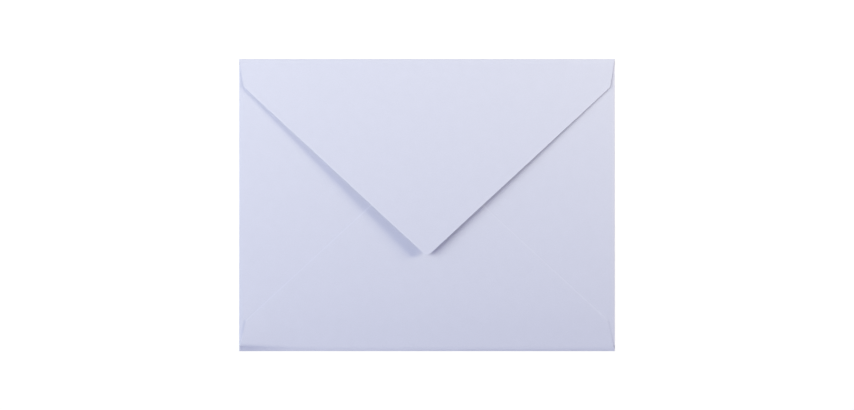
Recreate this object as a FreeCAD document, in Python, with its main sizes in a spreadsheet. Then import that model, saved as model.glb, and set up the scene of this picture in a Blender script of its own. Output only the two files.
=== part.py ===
"""A greeting-card envelope, lying on its address side, its seal flap folded down but not stuck.

The envelope is one sheet of paper. Four flaps hang on the four sides of a plain front panel. The
two side flaps fold in first, the bottom flap folds up over them and is glued along its slanted
edges, and the deep pointed seal flap folds down over everything and springs up at its tip.
Each fold is a tight crease from which the paper eases over to its level, and each flap is a
folded strip that is then cut to its outline.

Frame: millimetres, +X along the top and bottom folds, +Y towards the seal flap's fold, +Z up.
The origin is the middle of the front panel, on the surface that the envelope lies on.
"""

import FreeCAD, Part
import math
import operator
import os

import Sketcher

NODE = "envelope"

# Each driving dimension: its alias, its value in millimetres or degrees, and what it measures
DRIVING = [
    ("env_width", 180.0, "length of the top and bottom folds"),
    ("env_height", 140.0, "length of the two side folds"),
    ("paper", 0.15, "thickness of the sheet"),
    ("pocket_depth", 0.6, "clear height between the front panel and the side flaps"),
    ("layer_gap", 0.1, "space between a flap and the layer that it lies on"),
    ("crease_radius", 0.35, "outer radius of a crease"),
    ("fold_ease", 2.5, "from a fold to where its flap has come to its level"),
    ("trim", 3.0, "strip left beyond each flap's outline, to be cut away"),
    ("side_reach", 74.0, "side flap from its fold to its tip"),
    ("side_shoulder", 10.0, "length of a side flap's shoulders"),
    ("side_inset", 2.0, "how far a side flap's shoulders lean in"),
    ("side_tip_radius", 10.0, "rounding of a side flap's tip"),
    ("bottom_reach", 92.0, "bottom flap from its fold to its tip"),
    ("bottom_shoulder", 15.0, "length of the bottom flap's shoulders"),
    ("bottom_inset", 3.3, "how far the bottom flap's shoulders lean in"),
    ("bottom_tip_radius", 8.0, "rounding of the bottom flap's tip"),
    ("seal_reach", 93.5, "seal flap from its fold to its tip"),
    ("seal_shoulder", 13.5, "length of the seal flap's shoulders"),
    ("seal_inset", 2.3, "how far the seal flap's shoulders lean in"),
    ("seal_tip_radius", 3.3, "rounding of the seal flap's tip"),
    ("seal_lift", 2.7, "angle at which the seal flap stands open"),
    ("seam_width", 7.0, "width of a glued seam"),
    ("seam_inset", 2.0, "from the bottom flap's slanted edge to the seam"),
    ("seam_start", 8.0, "from the bottom flap's shoulder to the seam"),
    ("seam_end", 6.0, "from the seam to the side flap's tip, across the envelope"),
]

# Names for the places that a sketch's constraints refer to
X_AXIS_LINE, Y_AXIS_LINE = -1, -2
START, END, CENTRE = 1, 2, 3
ORIGIN = (X_AXIS_LINE, START)
X_AXIS = FreeCAD.Vector(1, 0, 0)
Y_AXIS = FreeCAD.Vector(0, 1, 0)
Z_AXIS = FreeCAD.Vector(0, 0, 1)


class Size:
    """A number and the formula that gives it, so that what is drawn and what is bound agree."""

    def __init__(self, value, formula=None):
        self.value = float(value)
        self.formula = formula or str(value)

    def combine(self, other, sign, operation):
        if not isinstance(other, Size):
            other = Size(other)
        value = operation(self.value, other.value)
        return Size(value, f"({self.formula} {sign} {other.formula})")

    def __add__(self, other):
        return self.combine(other, "+", operator.add)

    def __sub__(self, other):
        return self.combine(other, "-", operator.sub)

    def __mul__(self, other):
        return self.combine(other, "*", operator.mul)

    def __truediv__(self, other):
        return self.combine(other, "/", operator.truediv)

    def __neg__(self):
        return self * -1


def sine(angle):
    return Size(math.sin(math.radians(angle.value)), f"sin({angle.formula})")


def cosine(angle):
    return Size(math.cos(math.radians(angle.value)), f"cos({angle.formula})")


class Sizes:
    """The sheet's driving dimensions, and the lengths and levels that follow from them."""

    def __init__(self, sheet):
        for alias, _, _ in DRIVING:
            setattr(self, alias, Size(getattr(sheet, alias), f"{sheet.Name}.{alias}"))
        self.half_width = self.env_width / 2
        self.half_height = self.env_height / 2
        self.side_half_fold = self.half_height - self.fold_ease
        self.side_flap_top = self.pocket_depth + self.paper * 2
        self.bottom_flap_top = self.side_flap_top + self.layer_gap + self.paper


def make_sheet(doc):
    """The driving dimensions, as plain numbers in a spreadsheet's cells."""
    sheet = doc.addObject("Spreadsheet::Sheet", "sizes")
    for row, (alias, value, meaning) in enumerate(DRIVING, start=1):
        sheet.set(f"A{row}", meaning)
        sheet.set(f"B{row}", str(value))
        sheet.setAlias(f"B{row}", alias)
    doc.recompute()
    return sheet


def origin_plane(body, role):
    return next(plane for plane in body.Origin.OriginFeatures if plane.Role == role)


def in_plane(point):
    return FreeCAD.Vector(point[0], point[1], 0)


class Drawing:
    """A sketch on one of the body's planes, drawn in place and then fully constrained.

    The base gives how far its origin is moved in the plane's own axes, and the turn gives an axis
    and an angle.
    """

    def __init__(self, body, name, plane, base, turn=(Z_AXIS, Size(0))):
        self.sketch = body.newObject("Sketcher::SketchObject", name)
        self.sketch.AttachmentSupport = [(origin_plane(body, plane), "")]
        self.sketch.MapMode = "FlatFace"
        axis, angle = turn
        rotation = FreeCAD.Rotation(axis, angle.value)
        self.sketch.AttachmentOffset = FreeCAD.Placement(FreeCAD.Vector(), rotation)
        if angle.value:
            self.sketch.setExpression("AttachmentOffset.Rotation.Angle", angle.formula)
        for letter, size in base.items():
            self.sketch.setExpression(f"AttachmentOffset.Base.{letter}", size.formula)

    def line(self, start, end, construction=False):
        edge = Part.LineSegment(in_plane(start), in_plane(end))
        return self.sketch.addGeometry(edge, construction)

    def lines(self, points):
        """A chain of straight lines through the points, each joined to the next."""
        chain = [self.line(start, end) for start, end in zip(points, points[1:])]
        for first, second in zip(chain, chain[1:]):
            self.tie("Coincident", first, END, second, START)
        return chain

    def arc(self, centre, radius, first_angle, last_angle, construction=False):
        """An arc that runs anticlockwise between two angles."""
        circle = Part.Circle(in_plane(centre), Z_AXIS, radius)
        edge = Part.ArcOfCircle(circle, first_angle, last_angle)
        return self.sketch.addGeometry(edge, construction)

    def tie(self, kind, *places):
        self.sketch.addConstraint(Sketcher.Constraint(kind, *places))

    def measure(self, name, kind, places, size):
        """A named dimension, bound to the size that it takes."""
        value, formula = size.value, size.formula
        if kind == "Angle":
            value, formula = math.radians(value), f"{formula} * 1 deg"
        index = self.sketch.addConstraint(Sketcher.Constraint(kind, *places, value))
        self.sketch.renameConstraint(index, name)
        self.sketch.setExpression(f"Constraints.{name}", formula)


def panel_drawing(body, sizes):
    """The flat part of the front panel, between the four folds."""
    drawing = Drawing(body, "panel_outline", "XY_Plane", base={})
    width = sizes.env_width - sizes.crease_radius * 2
    height = sizes.env_height - sizes.crease_radius * 2
    x, y = width.value / 2, height.value / 2
    south, east, north, west = drawing.lines([(-x, -y), (x, -y), (x, y), (-x, y), (-x, -y)])
    drawing.tie("Coincident", west, END, south, START)
    for level in (south, north):
        drawing.tie("Horizontal", level)
    for upright in (east, west):
        drawing.tie("Vertical", upright)
    drawing.tie("Symmetric", south, START, east, END, *ORIGIN)
    drawing.measure("width", "DistanceX", (south, START, south, END), width)
    drawing.measure("height", "DistanceY", (east, START, east, END), height)
    return drawing.sketch


def fold_drawing(body, sizes, flap, plane, fold, level, lift=None, turn=(Z_AXIS, Size(0))):
    """Section through a fold and its strip of paper.

    The sketch's origin is where the fold's outer line meets the surface underneath. From the flat
    panel the paper turns up round a tight crease, eases over to its level and runs back over the
    panel. With a lift it rises as it goes.
    """
    drawing = Drawing(body, f"{flap}_section", plane, base={"x": fold}, turn=turn)
    run = getattr(sizes, f"{flap}_reach") + sizes.trim - sizes.fold_ease
    radius, paper = sizes.crease_radius.value, sizes.paper.value
    rise = math.radians(lift.value) if lift else 0.0
    along = FreeCAD.Vector(-math.cos(rise), math.sin(rise), 0)
    outward = FreeCAD.Vector(math.sin(rise), math.cos(rise), 0)
    crease_centre = FreeCAD.Vector(-radius, radius, 0)
    levelled = FreeCAD.Vector(-sizes.fold_ease.value, level.value, 0)
    reach = levelled - crease_centre
    ease_radius = (reach.Length**2 - radius**2) / (2 * (reach.dot(outward) - radius))
    ease_centre = levelled - outward * ease_radius
    meeting = crease_centre - ease_centre
    angles = (-math.pi / 2, math.atan2(meeting.y, meeting.x), math.pi / 2 - rise)

    def bend(depth):
        """The two arcs of the paper's outer face, or of its inner face at the paper's depth."""
        crease = drawing.arc(crease_centre, radius - depth, *angles[:2])
        ease = drawing.arc(ease_centre, ease_radius - depth, *angles[1:])
        drawing.tie("Tangent", crease, END, ease, START)
        return crease, ease

    crease, ease = bend(0)
    inner_crease, inner_ease = bend(paper)
    far = levelled + along * run.value
    top, edge, under = drawing.lines(
        [levelled, far, far - outward * paper, levelled - outward * paper]
    )
    start = drawing.line((-radius, paper), (-radius, 0))
    drawing.tie("Coincident", crease, CENTRE, inner_crease, CENTRE)
    drawing.tie("Coincident", ease, CENTRE, inner_ease, CENTRE)
    drawing.tie("Coincident", inner_crease, START, start, START)
    drawing.tie("Coincident", start, END, crease, START)
    drawing.tie("Tangent", ease, END, top, START)
    drawing.tie("Tangent", inner_ease, END, under, END)
    drawing.tie("Parallel", top, under)
    drawing.tie("Perpendicular", top, edge)
    drawing.tie("Vertical", start)
    drawing.tie("Vertical", crease, START, crease, CENTRE)
    if lift:
        drawing.measure("lean", "Angle", (top,), -lift + 180)
    else:
        drawing.tie("Horizontal", top)
    drawing.measure("crease_radius", "Radius", (crease,), sizes.crease_radius)
    drawing.measure("paper", "Distance", (start,), sizes.paper)
    drawing.measure("from_fold", "DistanceX", (crease, CENTRE, *ORIGIN), sizes.crease_radius)
    drawing.measure("rise", "DistanceY", (*ORIGIN, crease, CENTRE), sizes.crease_radius)
    drawing.measure("ease", "DistanceX", (top, START, *ORIGIN), sizes.fold_ease)
    drawing.measure("level", "DistanceY", (*ORIGIN, top, START), level)
    drawing.measure("strip", "Distance", (top,), run)
    return drawing.sketch


def touch_angle(neck, tip_centre, tip_radius):
    """Direction, seen from a tip's centre, in which the line from a shoulder's end touches it."""
    across, along = neck[0], neck[1] - tip_centre
    return math.atan2(along, across) + math.acos(tip_radius / math.hypot(across, along))


def waste_drawing(body, sizes, flap, half_fold, base, turn=(Z_AXIS, Size(0))):
    """The waste round a flap: all that lies beside its outline, as far as the strip goes.

    The sketch's origin is the middle of the flap's fold, and the flap points along its +Y. The
    outline leaves both ends of the fold in steep shoulders, and then tapers to a rounded tip.
    """
    drawing = Drawing(body, f"{flap}_waste", "XY_Plane", base=base, turn=turn)
    reach = getattr(sizes, f"{flap}_reach")
    shoulder = getattr(sizes, f"{flap}_shoulder")
    inset = getattr(sizes, f"{flap}_inset")
    tip_radius = getattr(sizes, f"{flap}_tip_radius")
    tip_centre = reach - tip_radius
    far_side = reach + sizes.trim * 2

    corner, middle, radius = half_fold.value, tip_centre.value, tip_radius.value
    neck = (corner - inset.value, shoulder.value)
    angle = touch_angle(neck, middle, radius)
    touch = (radius * math.cos(angle), middle + radius * math.sin(angle))
    outside = corner + sizes.trim.value
    right_taper, right_shoulder, right_base, right_side, end, left_side, left_base = drawing.lines(
        [
            touch,
            neck,
            (corner, 0),
            (outside, 0),
            (outside, far_side.value),
            (-outside, far_side.value),
            (-outside, 0),
            (-corner, 0),
        ]
    )
    left_shoulder, left_taper = drawing.lines(
        [(-corner, 0), (-neck[0], neck[1]), (-touch[0], touch[1])]
    )
    tip = drawing.arc((0, middle), radius, angle, math.pi - angle)
    drawing.tie("Tangent", right_taper, START, tip, START)
    drawing.tie("Tangent", left_taper, END, tip, END)
    drawing.tie("Coincident", left_base, END, left_shoulder, START)
    for level in (right_base, end, left_base):
        drawing.tie("Horizontal", level)
    for upright in (right_side, left_side):
        drawing.tie("Vertical", upright)
    drawing.tie("Symmetric", left_shoulder, START, right_shoulder, END, Y_AXIS_LINE)
    drawing.tie("Symmetric", left_shoulder, END, right_shoulder, START, Y_AXIS_LINE)
    drawing.tie("PointOnObject", left_shoulder, START, X_AXIS_LINE)
    drawing.tie("PointOnObject", tip, CENTRE, Y_AXIS_LINE)
    drawing.measure("half_fold", "DistanceX", (*ORIGIN, right_base, START), half_fold)
    drawing.measure("shoulder", "DistanceY", (*ORIGIN, right_taper, END), shoulder)
    drawing.measure("inset", "DistanceX", (right_taper, END, right_base, START), inset)
    drawing.measure("tip_centre", "DistanceY", (*ORIGIN, tip, CENTRE), tip_centre)
    drawing.measure("tip_radius", "Radius", (tip,), tip_radius)
    drawing.measure("far_side", "DistanceY", (*ORIGIN, end, START), far_side)
    drawing.measure("right_margin", "DistanceX", (right_base, START, right_base, END), sizes.trim)
    drawing.measure("left_margin", "DistanceX", (left_base, START, left_base, END), sizes.trim)
    return drawing.sketch


def seam_drawing(body, sizes):
    """The glued seam on the right, a strip that runs along the bottom flap's slanted edge.

    The edge and the flap's tip are drawn again as construction lines, for the strip to follow.
    """
    base = {"y": -sizes.half_height, "z": sizes.side_flap_top}
    drawing = Drawing(body, "seam_outline", "XY_Plane", base=base)
    neck_across = sizes.half_width - sizes.bottom_inset
    tip_centre = sizes.bottom_reach - sizes.bottom_tip_radius
    end_across = sizes.half_width - sizes.side_reach + sizes.seam_end

    neck = (neck_across.value, sizes.bottom_shoulder.value)
    middle, radius = tip_centre.value, sizes.bottom_tip_radius.value
    angle = touch_angle(neck, middle, radius)
    outward = FreeCAD.Vector(math.cos(angle), math.sin(angle), 0)
    upward = FreeCAD.Vector(-math.sin(angle), math.cos(angle), 0)
    touch = (radius * outward.x, middle + radius * outward.y)

    def place(along, depth):
        point = upward * along - outward * depth
        return neck[0] + point.x, neck[1] + point.y

    first, inset = sizes.seam_start.value, sizes.seam_inset.value
    depth = inset + sizes.seam_width.value
    last = (end_across.value - neck[0] + outward.x * depth) / upward.x
    edge = drawing.line(neck, touch, construction=True)
    tip = drawing.arc((0, middle), radius, angle, math.pi - angle, construction=True)
    near, far_end, far, near_end = drawing.lines(
        [
            place(first, inset),
            place(last, inset),
            place(last, depth),
            place(first, depth),
            place(first, inset),
        ]
    )
    drawing.tie("Coincident", near_end, END, near, START)
    drawing.tie("Tangent", edge, END, tip, START)
    drawing.tie("PointOnObject", tip, CENTRE, Y_AXIS_LINE)
    drawing.tie("Symmetric", tip, START, tip, END, Y_AXIS_LINE)
    drawing.tie("Parallel", near, edge)
    drawing.tie("Parallel", far, edge)
    drawing.tie("Perpendicular", near_end, edge)
    drawing.tie("Perpendicular", far_end, edge)
    drawing.measure("neck_across", "DistanceX", (*ORIGIN, edge, START), neck_across)
    drawing.measure("shoulder", "DistanceY", (*ORIGIN, edge, START), sizes.bottom_shoulder)
    drawing.measure("tip_centre", "DistanceY", (*ORIGIN, tip, CENTRE), tip_centre)
    drawing.measure("tip_radius", "Radius", (tip,), sizes.bottom_tip_radius)
    drawing.measure("inset", "Distance", (near, START, edge), sizes.seam_inset)
    drawing.measure("first", "Distance", (edge, START, near_end), sizes.seam_start)
    drawing.measure("width", "Distance", (near_end,), sizes.seam_width)
    drawing.measure("end_across", "DistanceX", (*ORIGIN, far_end, END), end_across)
    return drawing.sketch


def pad(body, name, profile, length, both_ways=False):
    """Paper or glue that is added along the sketch's normal, or half of it to each side."""
    feature = body.newObject("PartDesign::Pad", name)
    feature.Profile = profile
    feature.setExpression("Length", length.formula)
    if both_ways:
        feature.SideType = "Symmetric"
    return feature


def cut_above(body, name, profile, along_normal=True):
    """Takes away all the paper above the sketch and inside its outline."""
    feature = body.newObject("PartDesign::Pocket", name)
    feature.Profile = profile
    feature.Type = "ThroughAll"
    feature.Reversed = along_normal
    return feature


def mirror(body, name, features):
    """The same features on the envelope's left."""
    feature = body.newObject("PartDesign::Mirrored", name)
    feature.Originals = features
    feature.MirrorPlane = (origin_plane(body, "YZ_Plane"), [""])
    body.Tip = feature


def add_side_flaps(body, sizes):
    """The two side flaps, which fold in first. Each stops where the flaps above and below ease in."""
    section = fold_drawing(body, sizes, "side", "XZ_Plane", sizes.half_width, sizes.side_flap_top)
    strip = pad(body, "side_strip", section, sizes.side_half_fold * 2, both_ways=True)
    base = {"x": sizes.half_width, "z": sizes.side_flap_top / 2}
    turn = (Z_AXIS, Size(90))
    waste = waste_drawing(body, sizes, "side", sizes.side_half_fold, base, turn)
    flap = cut_above(body, "side_flap", waste)
    mirror(body, "other_side_flap", [strip, flap])


def add_bottom_flap(body, sizes):
    """The bottom flap, which folds up over the side flaps."""
    fold, turn = -sizes.half_height, (Y_AXIS, Size(180))
    section = fold_drawing(
        body, sizes, "bottom", "YZ_Plane", fold, sizes.bottom_flap_top, turn=turn
    )
    pad(body, "bottom_strip", section, sizes.env_width, both_ways=True)
    base = {"y": fold, "z": sizes.side_flap_top + sizes.layer_gap / 2}
    waste = waste_drawing(body, sizes, "bottom", sizes.half_width, base)
    cut_above(body, "bottom_flap", waste)


def add_seal_flap(body, sizes):
    """The seal flap, which folds down over everything and stands open by its lift.

    Its waste is drawn parallel to the leaning flap, half a gap under its paper.
    """
    lift, level, ease = sizes.seal_lift, sizes.bottom_flap_top, sizes.fold_ease
    section = fold_drawing(body, sizes, "seal", "YZ_Plane", sizes.half_height, level, lift=lift)
    pad(body, "seal_strip", section, sizes.env_width, both_ways=True)
    under = sizes.paper + sizes.layer_gap / 2
    base = {
        "y": sizes.half_height - ease + ease * cosine(lift) - under * sine(lift),
        "z": level - ease * sine(lift) - under * cosine(lift),
    }
    turn = (X_AXIS, -lift + 180)
    waste = waste_drawing(body, sizes, "seal", sizes.half_width, base, turn)
    cut_above(body, "seal_flap", waste, along_normal=False)


def add_seams(body, sizes):
    """The glue that holds the bottom flap down on the two side flaps."""
    seam = pad(body, "seam", seam_drawing(body, sizes), sizes.layer_gap)
    mirror(body, "other_seam", [seam])


def make_envelope(doc, sizes):
    body = doc.addObject("PartDesign::Body", "envelope_body")
    body.Label = NODE
    pad(body, "front_panel", panel_drawing(body, sizes), sizes.paper)
    add_side_flaps(body, sizes)
    add_bottom_flap(body, sizes)
    add_seal_flap(body, sizes)
    add_seams(body, sizes)
    return body


def check(doc, body):
    """Stops the script if a feature failed, a sketch is loose or a cut took nothing away."""
    for item in doc.Objects:
        if "Invalid" in item.State or "Error" in item.State:
            raise RuntimeError(f"{item.Name} failed: {item.State}")
        if item.TypeId == "Sketcher::SketchObject" and not item.FullyConstrained:
            raise RuntimeError(f"sketch {item.Name} is not fully constrained")
        if item.TypeId in ("PartDesign::Pad", "PartDesign::Pocket") and item.BaseFeature:
            grown = item.Shape.Volume - item.BaseFeature.Shape.Volume
            if (grown > 0) != (item.TypeId == "PartDesign::Pad"):
                raise RuntimeError(f"{item.Name} changed the volume by {grown:.3f} mm3")
    if body.Shape.isNull() or not body.Shape.isValid() or len(body.Shape.Solids) != 1:
        raise RuntimeError("the envelope is not one valid solid")


def main():
    doc = FreeCAD.newDocument("envelope")
    sizes = Sizes(make_sheet(doc))
    body = make_envelope(doc, sizes)
    doc.recompute()
    check(doc, body)
    os.makedirs("parts", exist_ok=True)
    body.Shape.exportStep(os.path.join("parts", f"{body.Label}.step"))


main()
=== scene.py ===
"""A greeting-card envelope, lying flap side up on a white floor in soft light.

The whole envelope is one die-cut sheet of paper. It is drawn flat, outer side down, with the cut
outlines of its front panel and its four flaps, and a node tree then folds the flaps over: the two
side flaps, the bottom flap on top of them, and last the deep seal flap, which springs up at its
tip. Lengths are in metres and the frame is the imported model's, with +Y towards the seal flap's
fold.
"""

import math

import bmesh
import bpy
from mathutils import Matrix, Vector


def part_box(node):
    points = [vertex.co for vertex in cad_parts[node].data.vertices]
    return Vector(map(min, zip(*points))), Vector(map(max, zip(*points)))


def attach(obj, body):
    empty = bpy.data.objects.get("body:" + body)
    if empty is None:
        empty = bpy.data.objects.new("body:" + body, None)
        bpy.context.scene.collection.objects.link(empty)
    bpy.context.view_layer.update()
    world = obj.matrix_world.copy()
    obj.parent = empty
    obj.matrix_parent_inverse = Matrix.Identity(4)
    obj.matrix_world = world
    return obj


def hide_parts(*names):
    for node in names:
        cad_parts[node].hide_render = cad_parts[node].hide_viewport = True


MM = 0.001
UP = Vector((0, 0, 1))
QUARTER_TURN = math.pi / 2
WHITE = (1, 1, 1, 1)

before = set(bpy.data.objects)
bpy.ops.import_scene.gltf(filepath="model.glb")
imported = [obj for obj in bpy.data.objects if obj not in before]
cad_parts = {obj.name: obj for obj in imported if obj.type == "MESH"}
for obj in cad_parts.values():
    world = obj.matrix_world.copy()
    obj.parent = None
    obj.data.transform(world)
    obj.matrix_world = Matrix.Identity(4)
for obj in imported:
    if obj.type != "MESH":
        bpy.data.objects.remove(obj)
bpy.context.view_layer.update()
LOW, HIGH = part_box("envelope")
HALF_WIDTH = (HIGH.x - LOW.x) / 2
HALF_HEIGHT = (HIGH.y - LOW.y) / 2

# The sheet and its folds
PAPER = 0.15 * MM
CREASE_RADIUS = 0.35 * MM
FOLD_EASE = 2.5 * MM
SIDE_LEVEL = 0.9 * MM
TOP_LEVEL = 1.15 * MM

# The seal flap's lift at its fold, and how much it lessens in each metre from there
SEAL_LIFT = math.radians(2.6)
SEAL_DROOP = math.radians(0.25) / (90 * MM)

# How the folded paper swells and cockles, and how the glue draws the bottom flap's edges down
PILLOW_RISE = 0.25 * MM
PILLOW_EDGE = 20 * MM
COCKLE_HEIGHT = 0.12 * MM
COCKLE_SIZE = 55 * MM
PRESSED_DEPTH = 0.08 * MM
PRESSED_WIDTH = 0.7 * MM

# The open corner: the shares by which its layers swell, and by which its bottom fold changes
CORNER_SWELL = 1.4
CORNER_PINCH = 0.57
CORNER_EASE = 0.4
CORNER_TIGHTNESS = 0.8

# Where the corner is most open, how far it reaches, and over what length its top is rounded
CORNER_ABOVE_FOLD = 6 * MM
CORNER_REACH = 38 * MM
CORNER_ROUNDING = 8 * MM
OPEN_CORNER = (-HALF_WIDTH, CORNER_ABOVE_FOLD - HALF_HEIGHT, 0)

# The share by which the rest of the bottom fold is pressed flatter, and how far that reaches
BOTTOM_PRESS = 0.35
BOTTOM_PRESS_REACH = 25 * MM

# How finely the sheet is divided
FOLD_ROWS = 32
ROW_STEP = 3 * MM
SHOULDER_STEP = 0.75 * MM
FOLD_END_STEP = 1 * MM
TIP_ROWS = 10
EDGE_COLUMNS = (0, 0.15 * MM, CREASE_RADIUS, 0.7 * MM, 1.2 * MM, 2 * MM)
SAME_PLACE = 0.001 * MM

# The margin of the panel, which has no slanted edge
NO_CUT_EDGE = HALF_HEIGHT

# The paper's edges: how soft they are, and the angles from which edges are softened or look sharp
SOFT_EDGE = 0.03 * MM
SOFT_ANGLE = math.radians(60)
SHARP_ANGLE = math.radians(50)

# The paper's grain, its fibres, drawn out one way, its clouds and the depth of its relief
GRAIN_SIZE = 0.14 * MM
FIBRE_SIZE = 0.18 * MM
FIBRE_STRETCH = (1, 0.3, 1)
CLOUD_SIZE = 4.5 * MM
RELIEF = 0.03 * MM

# The paper's colours, among them a painted highlight for its slanted cut edges, and how far from a
# slanted edge that painted highlight fades out
DARKER_PAPER = (0.597, 0.619, 0.772, 1)
LIGHTER_PAPER = (0.653, 0.675, 0.840, 1)
EDGE_HIGHLIGHT_PAPER = (0.652, 0.675, 0.838, 1)
FADE_START = 0.2 * MM
FADE_END = 0.8 * MM

# The floor: half its width, its grey where it gives light, and its grey and its glow as seen
HALF_FLOOR = 15
FLOOR_GREY = (0.8, 0.8, 0.8, 1)
SEEN_GREY = (0.28, 0.28, 0.28, 1)
SEEN_GLOW = 0.78

# The place on the floor that the lamps are turned towards
LAMP_TARGET = Vector((0, 1, 0))

# The photograph: its width and the envelope's in pixels, and a long lens for it in millimetres
PHOTO_WIDTH = 854
ENVELOPE_PIXELS = 375.7
LENS = 150


class Value:
    """A socket of a node tree, with Python's operators for its maths."""

    def __init__(self, nodes, socket):
        self.nodes = nodes
        self.socket = socket

    def __add__(self, other):
        return self.nodes.math("ADD", self, other)

    def __radd__(self, other):
        return self.nodes.math("ADD", other, self)

    def __sub__(self, other):
        return self.nodes.math("SUBTRACT", self, other)

    def __rsub__(self, other):
        return self.nodes.math("SUBTRACT", other, self)

    def __mul__(self, other):
        return self.nodes.math("MULTIPLY", self, other)

    def __rmul__(self, other):
        return self.nodes.math("MULTIPLY", other, self)

    def __truediv__(self, other):
        return self.nodes.math("DIVIDE", self, other)

    def __rtruediv__(self, other):
        return self.nodes.math("DIVIDE", other, self)


class Nodes:
    """A node tree that is being built."""

    def __init__(self, tree):
        self.tree = tree
        tree.nodes.clear()

    def make(self, kind, inputs=None, **settings):
        """A new node. Its settings come first, then its inputs, as values or as links."""
        node = self.tree.nodes.new(kind)
        for name, setting in settings.items():
            setattr(node, name, setting)
        for name, given in (inputs or {}).items():
            socket = node.inputs[name]
            if isinstance(given, Value):
                self.tree.links.new(given.socket, socket)
            else:
                socket.default_value = given
        return node

    def value(self, kind, inputs=None, output=0, **settings):
        return Value(self, self.make(kind, inputs, **settings).outputs[output])

    def math(self, operation, *values):
        return self.value("ShaderNodeMath", dict(enumerate(values)), operation=operation)

    def vector_math(self, operation, *values, output="Vector"):
        inputs = dict(enumerate(values))
        return self.value("ShaderNodeVectorMath", inputs, output, operation=operation)

    def scaled(self, vector, factor):
        inputs = {0: vector, "Scale": factor}
        return self.value("ShaderNodeVectorMath", inputs, operation="SCALE")

    def smooth(self, value, start, end):
        """0 up to the start, 1 from the end, and an even curve between them."""
        inputs = {"Value": value, "From Min": start, "From Max": end}
        return self.value("ShaderNodeMapRange", inputs, interpolation_type="SMOOTHSTEP")

    def noise(self, vector, size, detail, seed):
        """A number about 0.5 that varies over about the given size."""
        inputs = {"Vector": vector, "W": seed, "Scale": 1 / size, "Detail": detail}
        return self.value("ShaderNodeTexNoise", inputs, noise_dimensions="4D")

    def mix(self, factor, first, second):
        inputs = {0: factor, 6: first, 7: second}
        return self.value("ShaderNodeMix", inputs, output=2, data_type="RGBA")


def geometry_tree(name, numbers, vectors=()):
    """A geometry tree with named inputs, as its nodes and its inputs by name."""
    tree = bpy.data.node_groups.new(name, "GeometryNodeTree")
    tree.interface.new_socket("Geometry", in_out="OUTPUT", socket_type="NodeSocketGeometry")
    tree.interface.new_socket("Geometry", in_out="INPUT", socket_type="NodeSocketGeometry")
    for label in vectors:
        tree.interface.new_socket(label, in_out="INPUT", socket_type="NodeSocketVector")
    for label in numbers:
        tree.interface.new_socket(label, in_out="INPUT", socket_type="NodeSocketFloat")
    nodes = Nodes(tree)
    entry = nodes.make("NodeGroupInput")
    return nodes, {socket.name: Value(nodes, socket) for socket in entry.outputs if socket.name}


def shader_nodes(name):
    """A new material, and its nodes."""
    material = bpy.data.materials.new(name)
    material.use_nodes = True
    return material, Nodes(material.node_tree)


def spread(start, end, step):
    """Evenly spaced numbers from start to end, about a step apart."""
    count = max(1, round(abs(end - start) / step))
    return [start + (end - start) * index / count for index in range(count + 1)]


class Outline:
    """A flap's cut edge: shoulders that lean in from the fold, then tapers to a round tip."""

    def __init__(self, half_fold, reach, shoulder, inset, tip_radius):
        self.half_fold = half_fold
        self.shoulder = shoulder
        self.neck = half_fold - inset
        self.tip_radius = tip_radius
        self.tip_centre = reach - tip_radius
        below_centre = shoulder - self.tip_centre
        to_neck = math.hypot(self.neck, below_centre)
        self.taper_angle = math.atan2(below_centre, self.neck) + math.acos(tip_radius / to_neck)
        self.touch_across = tip_radius * math.cos(self.taper_angle)
        self.touch_along = self.tip_centre + tip_radius * math.sin(self.taper_angle)

    def half_width(self, along):
        if along <= 0:
            return self.half_fold
        if along <= self.shoulder:
            return self.half_fold + (self.neck - self.half_fold) * along / self.shoulder
        if along <= self.touch_along:
            share = (along - self.shoulder) / (self.touch_along - self.shoulder)
            return self.neck + (self.touch_across - self.neck) * share
        return math.sqrt(max(0, self.tip_radius**2 - (along - self.tip_centre) ** 2))

    def margin(self, across, along):
        """How far a place on the flap is from its slanted edges and its tip."""
        across = abs(across)
        if along > self.touch_along:
            return self.tip_radius - math.hypot(across, along - self.tip_centre)
        inwards = (self.neck - across) * math.cos(self.taper_angle)
        return inwards + (self.shoulder - along) * math.sin(self.taper_angle)

    def rows(self):
        """Distances from the fold at which the flap is divided, closer at the fold and the tip."""
        fold = spread(-CREASE_RADIUS, FOLD_EASE, (FOLD_EASE + CREASE_RADIUS) / FOLD_ROWS)
        shoulder = spread(FOLD_EASE, self.shoulder, SHOULDER_STEP)
        taper = spread(self.shoulder, self.touch_along, ROW_STEP)
        turn = QUARTER_TURN - self.taper_angle
        angles = spread(self.taper_angle, QUARTER_TURN, turn / TIP_ROWS)
        tip = [self.tip_centre + self.tip_radius * math.sin(angle) for angle in angles]
        return fold + shoulder[1:] + taper[1:] + tip[1:]


def columns(half, full):
    """Places across a row of the sheet.

    The outer ones keep their distance from the cut edge, and on a short row they close up, so that
    they take at most a third of each half.
    """
    squeeze = min(1, half / (3 * EDGE_COLUMNS[-1]))
    inner = half - EDGE_COLUMNS[-1] * squeeze
    right = [inner * share for share in spread(0, 1, ROW_STEP / full)[1:]]
    right += [half - edge * squeeze for edge in reversed(EDGE_COLUMNS[:-1])]
    return [-place for place in reversed(right)] + [0] + right


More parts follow.
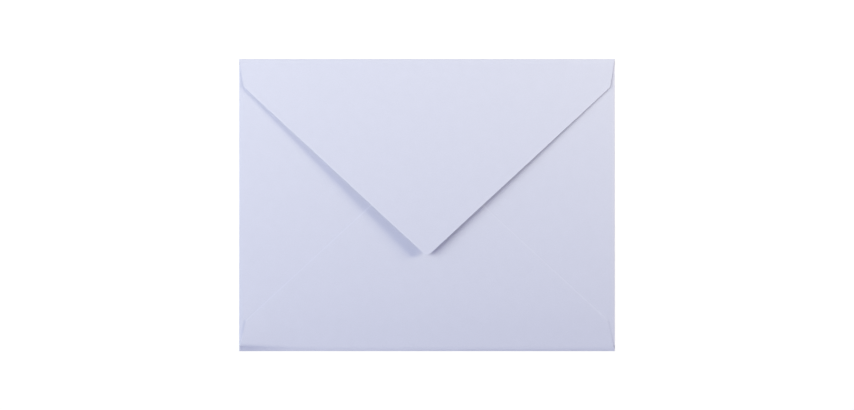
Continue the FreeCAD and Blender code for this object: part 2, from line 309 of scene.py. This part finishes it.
# Each flap: its outline, the direction in which it leaves the panel, and its fold's distance
SIDE_OUTLINE = Outline(
    HALF_HEIGHT - FOLD_EASE, reach=74 * MM, shoulder=10 * MM, inset=2 * MM, tip_radius=10 * MM
)
BOTTOM_OUTLINE = Outline(
    HALF_WIDTH, reach=92 * MM, shoulder=15 * MM, inset=3.3 * MM, tip_radius=8 * MM
)
SEAL_OUTLINE = Outline(
    HALF_WIDTH, reach=93.5 * MM, shoulder=13.5 * MM, inset=2.3 * MM, tip_radius=3.3 * MM
)
PANEL, RIGHT, LEFT, BOTTOM, SEAL = range(5)
FLAPS = {
    RIGHT: (SIDE_OUTLINE, (1, 0, 0), HALF_WIDTH),
    LEFT: (SIDE_OUTLINE, (-1, 0, 0), HALF_WIDTH),
    BOTTOM: (BOTTOM_OUTLINE, (0, -1, 0), HALF_HEIGHT),
    SEAL: (SEAL_OUTLINE, (0, 1, 0), HALF_HEIGHT),
}


class Blank:
    """The die-cut sheet as it lies flat, before it is folded."""

    def __init__(self):
        self.sheet = bmesh.new()
        self.flat = self.sheet.verts.layers.float_vector.new("flat")
        self.margin = self.sheet.verts.layers.float.new("margin")
        self.flap_number = self.sheet.verts.layers.int.new("flap")

    def point(self, x, y, margin, flap):
        point = self.sheet.verts.new((x, y, 0))
        point[self.flat] = point.co
        point[self.margin] = margin
        point[self.flap_number] = flap
        return point

    def patch(self, rows, flap):
        """Faces between rows of places."""
        points = [[self.point(*place, flap) for place in row] for row in rows]
        for near, far in zip(points, points[1:]):
            for corners in zip(near, near[1:], far[1:], far):
                self.sheet.faces.new(corners)

    def flap(self, number):
        """One flap, drawn outwards from its fold."""
        outline, (out_x, out_y, _), fold = FLAPS[number]
        rows = []
        for along in outline.rows():
            row = []
            for across in columns(outline.half_width(along), outline.half_fold):
                x = out_x * (fold + along) - out_y * across
                y = out_y * (fold + along) + out_x * across
                row.append((x, y, outline.margin(across, along)))
            rows.append(row)
        self.patch(rows, number)

    def panel(self):
        """The front panel. Beyond the ends of the side folds it reaches its full width."""
        fold_x, fold_y = HALF_WIDTH - CREASE_RADIUS, HALF_HEIGHT - CREASE_RADIUS
        wide = columns(HALF_WIDTH, HALF_WIDTH)
        between_folds = [x for x in wide if abs(x) < fold_x + SAME_PLACE]
        side_fold = SIDE_OUTLINE.half_fold
        above = spread(side_fold, fold_y, FOLD_END_STEP)
        below = [-y for y in above]
        middle = columns(side_fold, side_fold)
        for across, along in ((between_folds, middle), (wide, above), (wide, below)):
            self.patch([[(x, y, NO_CUT_EDGE) for x in across] for y in along], PANEL)

    def mesh(self):
        """The sheet as a mesh, with its outer side facing down."""
        bmesh.ops.remove_doubles(self.sheet, verts=self.sheet.verts, dist=SAME_PLACE)
        self.sheet.normal_update()
        upward = [face for face in self.sheet.faces if face.normal.z > 0]
        bmesh.ops.reverse_faces(self.sheet, faces=upward)
        mesh = bpy.data.meshes.new("blank")
        self.sheet.to_mesh(mesh)
        self.sheet.free()
        return mesh


def fold_tree():
    """Folds one flap over.

    The paper turns up round a tight crease, bends over more gently to its level, and goes on as the
    flap, which rises by its lift, and droops a little on its way. Where the bend is made tighter
    than it could be, a straight ramp leads up to it.
    """
    numbers = ("Flap", "Fold", "Radius", "Ease", "Level", "Lift", "Droop", "Tightness")
    nodes, given = geometry_tree("fold a flap over", numbers, vectors=["Outward"])
    radius, ease, level, lift = (given[name] for name in ("Radius", "Ease", "Level", "Lift"))

    def sine(angle):
        return nodes.math("SINE", angle)

    def cosine(angle):
        return nodes.math("COSINE", angle)

    # The widest bend is the one whose circle touches the crease's, and ends where the flap starts
    over, rise = radius - ease, level - radius
    bend = over * over + rise * rise - radius * radius
    bend = bend / (2 * (over * sine(lift) + rise * cosine(lift) - radius))
    bend = bend * (1 - given["Tightness"])

    # The ramp touches both circles
    over, rise = over - bend * sine(lift), rise - bend * cosine(lift)
    apart = nodes.math("SQRT", over * over + rise * rise)
    ramp_length = nodes.math("SQRT", apart * apart - (bend - radius) * (bend - radius))
    turned = nodes.math("ARCCOSINE", (bend - radius) / apart)
    meet = nodes.math("ARCTAN2", 0 - rise, 0 - over) + turned
    crease_length = radius * (meet + QUARTER_TURN)
    bend_length = bend * (QUARTER_TURN - lift - meet)

    # How far along each of them this point lies
    position = nodes.value("GeometryNodeInputPosition")
    past_fold = nodes.vector_math("DOT_PRODUCT", position, given["Outward"], output="Value")
    past_fold = past_fold - given["Fold"]
    in_panel = nodes.math("MINIMUM", past_fold + radius, 0)
    share = nodes.math("MINIMUM", (past_fold + radius - in_panel) / (ease + radius), 1)
    in_fold = share * (crease_length + ramp_length + bend_length)
    in_crease = nodes.math("MINIMUM", in_fold, crease_length)
    in_ramp = nodes.math("MINIMUM", in_fold - in_crease, ramp_length)
    in_bend = in_fold - in_crease - in_ramp
    in_flap = nodes.math("MAXIMUM", past_fold - ease, 0)

    # Where that is, seen along the fold
    crease_angle = in_crease / radius - QUARTER_TURN
    bend_angle = meet + in_bend / bend
    heading = lift - given["Droop"] * in_flap / 2
    out = radius * (cosine(crease_angle) - 1) - in_ramp * sine(meet)
    out = out + bend * (cosine(bend_angle) - cosine(meet)) + in_panel - in_flap * cosine(heading)
    height = radius * (sine(crease_angle) + 1) + in_ramp * cosine(meet)
    height = height + bend * (sine(bend_angle) - sine(meet)) + in_flap * sine(heading)

    move = nodes.scaled(given["Outward"], out - past_fold)
    move = nodes.vector_math("ADD", move, nodes.scaled(UP, height))
    flap = nodes.value("GeometryNodeInputNamedAttribute", {"Name": "flap"}, data_type="INT")
    inputs = {
        "Geometry": given["Geometry"],
        "Selection": nodes.math("COMPARE", flap, given["Flap"], 0.5),
        "Offset": move,
    }
    folded = nodes.value("GeometryNodeSetPosition", inputs)
    nodes.make("NodeGroupOutput", {"Geometry": folded})
    return nodes.tree


# The inputs of the tree that folds the envelope
ENVELOPE_SIZES = {
    "Crease Radius": CREASE_RADIUS,
    "Fold Ease": FOLD_EASE,
    "Side Level": SIDE_LEVEL,
    "Top Level": TOP_LEVEL,
    "Seal Lift": SEAL_LIFT,
    "Seal Droop": SEAL_DROOP,
    "Pillow Rise": PILLOW_RISE,
    "Pillow Edge": PILLOW_EDGE,
    "Cockle Height": COCKLE_HEIGHT,
    "Cockle Size": COCKLE_SIZE,
    "Pressed Depth": PRESSED_DEPTH,
    "Pressed Width": PRESSED_WIDTH,
    "Corner Swell": CORNER_SWELL,
    "Corner Pinch": CORNER_PINCH,
    "Corner Ease": CORNER_EASE,
    "Corner Tightness": CORNER_TIGHTNESS,
    "Corner Reach": CORNER_REACH,
    "Corner Rounding": CORNER_ROUNDING,
    "Bottom Press": BOTTOM_PRESS,
    "Bottom Press Reach": BOTTOM_PRESS_REACH,
}


def envelope_tree(paper):
    """Folds the blank into an envelope, and gives its paper the small unevenness of a real one."""
    nodes, given = geometry_tree("fold the envelope", ENVELOPE_SIZES)
    position = nodes.value("GeometryNodeInputPosition")
    across, along, height = (
        nodes.value("ShaderNodeSeparateXYZ", {"Vector": position}, output=axis) for axis in "XYZ"
    )
    in_plan = nodes.vector_math("MULTIPLY", position, (1, 1, 0))

    # One corner stands open: 1 there, and 0 from its reach on, with a rounded top
    from_corner = nodes.vector_math("DISTANCE", in_plan, OPEN_CORNER, output="Value")
    rounding = given["Corner Rounding"]
    from_top = nodes.math("SQRT", from_corner * from_corner + rounding * rounding) - rounding
    openness = nodes.math("MAXIMUM", 1 - from_top / given["Corner Reach"], 0)
    openness = openness * openness

    # The folds. Towards the open corner, the bottom one is pinched flat and ramps up further in
    fold = fold_tree()
    pinched = given["Crease Radius"] * (1 - given["Corner Pinch"] * openness)
    slower = given["Fold Ease"] * (1 + given["Corner Ease"] * openness)
    sheet = given["Geometry"]
    for flap, (_, outward, distance) in FLAPS.items():
        inputs = {
            "Geometry": sheet,
            "Outward": outward,
            "Flap": flap,
            "Fold": distance,
            "Radius": pinched if flap == BOTTOM else given["Crease Radius"],
            "Ease": slower if flap == BOTTOM else given["Fold Ease"],
            "Level": given["Side Level"] if flap in (RIGHT, LEFT) else given["Top Level"],
        }
        if flap == BOTTOM:
            inputs["Tightness"] = given["Corner Tightness"] * openness
        if flap == SEAL:
            inputs |= {"Lift": given["Seal Lift"], "Droop": given["Seal Droop"]}
        sheet = nodes.value("GeometryNodeGroup", inputs, node_tree=fold)

    # All the layers stand higher in the open corner, and are pressed flatter along the bottom fold
    inward = nodes.smooth(along, -HALF_HEIGHT, given["Bottom Press Reach"] - HALF_HEIGHT)
    flatness = given["Bottom Press"] * (1 - inward) * (1 - openness)
    swelling = height * (given["Corner Swell"] * openness * openness - flatness)

    # Within its folds the envelope is a flat pillow, and its paper cockles a little
    pillow = given["Pillow Rise"]
    for place, edge in ((across, HALF_WIDTH), (along, HALF_HEIGHT)):
        outside = nodes.math("ABSOLUTE", place) - (edge - given["Pillow Edge"])
        slack = nodes.math("MAXIMUM", outside, 0) / given["Pillow Edge"]
        pillow = pillow * (1 - slack * slack)
    wave = nodes.noise(in_plan, given["Cockle Size"], detail=1, seed=4.2) - 0.5
    cockle = 2 * given["Cockle Height"] * wave

    # The glue has drawn the bottom flap's edges down
    margin = nodes.value("GeometryNodeInputNamedAttribute", {"Name": "margin"}, data_type="FLOAT")
    number = nodes.value("GeometryNodeInputNamedAttribute", {"Name": "flap"}, data_type="INT")
    glued = nodes.math("COMPARE", number, BOTTOM, 0.5)
    drawn = given["Pressed Depth"] * glued
    pressed = drawn * (1 - nodes.smooth(margin, 0, given["Pressed Width"]))

    past_crease = nodes.smooth(height, 2 * given["Crease Radius"], given["Side Level"])
    rise = nodes.scaled(UP, swelling + past_crease * (pillow + cockle - pressed))
    uneven = nodes.value("GeometryNodeSetPosition", {"Geometry": sheet, "Offset": rise})

    whole = nodes.value("GeometryNodeRealizeInstances", {"Geometry": uneven})
    finished = nodes.value("GeometryNodeSetMaterial", {"Geometry": whole, "Material": paper})
    nodes.make("NodeGroupOutput", {"Geometry": finished})
    return nodes.tree


def fold_envelope(paper):
    """The finished envelope, as a plain mesh."""
    blank = Blank()
    blank.panel()
    for flap in FLAPS:
        blank.flap(flap)
    sheet = bpy.data.objects.new("blank", blank.mesh())
    bpy.context.collection.objects.link(sheet)

    folding = sheet.modifiers.new("folding", "NODES")
    folding.node_group = envelope_tree(paper)
    for socket in folding.node_group.interface.items_tree:
        if socket.in_out == "INPUT" and socket.name in ENVELOPE_SIZES:
            folding[socket.identifier] = ENVELOPE_SIZES[socket.name]

    # The paper lies inside the folded surface, and its cut edges are slightly soft
    thickness = sheet.modifiers.new("thickness", "SOLIDIFY")
    thickness.thickness = PAPER
    thickness.offset = -1
    thickness.use_even_offset = True
    soft_edges = sheet.modifiers.new("soft edges", "BEVEL")
    soft_edges.width = SOFT_EDGE
    soft_edges.segments = 2
    soft_edges.limit_method = "ANGLE"
    soft_edges.angle_limit = SOFT_ANGLE

    finished = sheet.evaluated_get(bpy.context.evaluated_depsgraph_get())
    mesh = bpy.data.meshes.new_from_object(finished)
    bpy.data.objects.remove(sheet)
    mesh.polygons.foreach_set("use_smooth", [True] * len(mesh.polygons))
    mesh.set_sharp_from_angle(angle=SHARP_ANGLE)
    envelope = bpy.data.objects.new("folded_envelope", mesh)
    bpy.context.collection.objects.link(envelope)
    return envelope


def paper_material():
    """Smooth uncoated paper, white with a cool tint."""
    material, nodes = shader_nodes("envelope paper")
    flat = nodes.value("ShaderNodeAttribute", output="Vector", attribute_name="flat")
    along_fibres = nodes.vector_math("MULTIPLY", flat, FIBRE_STRETCH)
    grain = nodes.noise(flat, GRAIN_SIZE, detail=2, seed=1.7)
    fibres = nodes.noise(along_fibres, FIBRE_SIZE, detail=2, seed=8.3)
    clouds = nodes.noise(flat, CLOUD_SIZE, detail=3, seed=5.1)
    tone = 0.12 * clouds + 0.44 * fibres + 0.44 * grain
    paper = nodes.mix(nodes.smooth(tone, 0.3, 0.7), DARKER_PAPER, LIGHTER_PAPER)

    # A painted highlight makes the slanted cut edges a little paler, standing in for the light that
    # their raised edges catch
    margin = nodes.value("ShaderNodeAttribute", output="Fac", attribute_name="margin")
    painted_edge_highlight = 1 - nodes.smooth(margin, FADE_START, FADE_END)
    colour = nodes.mix(painted_edge_highlight, paper, EDGE_HIGHLIGHT_PAPER)

    relief = 0.6 * grain + 0.4 * fibres
    bump = nodes.value("ShaderNodeBump", {"Strength": 0.5, "Distance": RELIEF, "Height": relief})
    inputs = {
        "Base Color": colour,
        "Roughness": 0.8 + 0.12 * (grain - 0.5),
        "Specular IOR Level": 0.25,
        "Normal": bump,
    }
    surface = nodes.value("ShaderNodeBsdfPrincipled", inputs)
    nodes.make("ShaderNodeOutputMaterial", {"Surface": surface})
    return material


def seen_white(nodes):
    """1 where a ray looks at the background, straight or reflected, and 0 where it gives light."""
    path = nodes.make("ShaderNodeLightPath")
    kinds = ("Camera", "Glossy", "Transmission")
    camera, glossy, through = (Value(nodes, path.outputs[f"Is {kind} Ray"]) for kind in kinds)
    return nodes.math("MAXIMUM", nodes.math("MAXIMUM", camera, glossy), through)


def lay_floor():
    """A wide white floor, which keeps the shadow of what lies on it."""
    material, nodes = shader_nodes("white floor")
    matt = nodes.value("ShaderNodeBsdfDiffuse", {"Color": FLOOR_GREY})
    shaded = nodes.value("ShaderNodeBsdfDiffuse", {"Color": SEEN_GREY})
    glow = nodes.value("ShaderNodeEmission", {"Color": WHITE, "Strength": SEEN_GLOW})
    white = nodes.value("ShaderNodeAddShader", {0: shaded, 1: glow})
    surface = nodes.value("ShaderNodeMixShader", {0: seen_white(nodes), 1: matt, 2: white})
    nodes.make("ShaderNodeOutputMaterial", {"Surface": surface})
    mesh = bpy.data.meshes.new("floor")
    sides = ((-1, -1), (1, -1), (1, 1), (-1, 1))
    corners = [(HALF_FLOOR * x, HALF_FLOOR * y, 0) for x, y in sides]
    mesh.from_pydata(corners, [], [range(len(corners))])
    mesh.materials.append(material)
    floor = bpy.data.objects.new("floor", mesh)
    bpy.context.collection.objects.link(floor)


def light_from_around(colour):
    """A dim cool light from the whole sky, which itself looks white."""
    world = bpy.data.worlds.new("surroundings")
    world.use_nodes = True
    bpy.context.scene.world = world
    nodes = Nodes(world.node_tree)
    dim = nodes.value("ShaderNodeBackground", {"Color": (*colour, 1)})
    white = nodes.value("ShaderNodeBackground", {"Color": WHITE})
    surface = nodes.value("ShaderNodeMixShader", {0: seen_white(nodes), 1: dim, 2: white})
    nodes.make("ShaderNodeOutputWorld", {"Surface": surface})


def lamp(name, azimuth, elevation, distance, size, colour):
    """A round soft lamp, whose colour is the light that it adds in the middle of the envelope.

    It is turned towards the floor past the envelope's top, so that the top is brighter. Its place
    is given by its angles in degrees and its distance, all from the middle of the envelope.
    """
    turn, rise = math.radians(azimuth), math.radians(elevation)
    level = math.cos(rise)
    towards = Vector((math.cos(turn) * level, math.sin(turn) * level, math.sin(rise)))
    light = bpy.data.lights.new(name, "AREA")
    light.shape = "DISK"
    light.size = size
    light.color = colour
    holder = bpy.data.objects.new(name, light)
    holder.location = towards * distance
    facing = (holder.location - LAMP_TARGET).normalized()
    holder.rotation_euler = facing.to_track_quat("Z", "Y").to_euler()

    # The power that lights a white sheet in the envelope's place to the lamp's colour
    light.energy = (math.pi * distance) ** 2 / (math.sin(rise) * facing.dot(towards))
    bpy.context.collection.objects.link(holder)


def look_down():
    """The photograph's view, from straight above."""
    camera = bpy.data.cameras.new("camera")
    camera.lens = LENS
    field = 2 * HALF_WIDTH * PHOTO_WIDTH / ENVELOPE_PIXELS
    holder = bpy.data.objects.new("camera", camera)
    holder.location = UP * (SIDE_LEVEL + field * camera.lens / camera.sensor_width)
    bpy.context.collection.objects.link(holder)
    bpy.context.scene.camera = holder


bpy.context.scene.view_settings.view_transform = "Standard"
look_down()
lay_floor()
light_from_around(colour=(0.145, 0.166, 0.374))
lamp(
    "window", azimuth=161, elevation=46, distance=0.97, size=0.95, colour=(0.537, 0.539, 0.427)
)
lamp(
    "table lamp", azimuth=16, elevation=28, distance=0.86, size=0.38, colour=(0.297, 0.272, 0.166)
)

envelope = fold_envelope(paper_material())
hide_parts("envelope")
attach(envelope, "root")
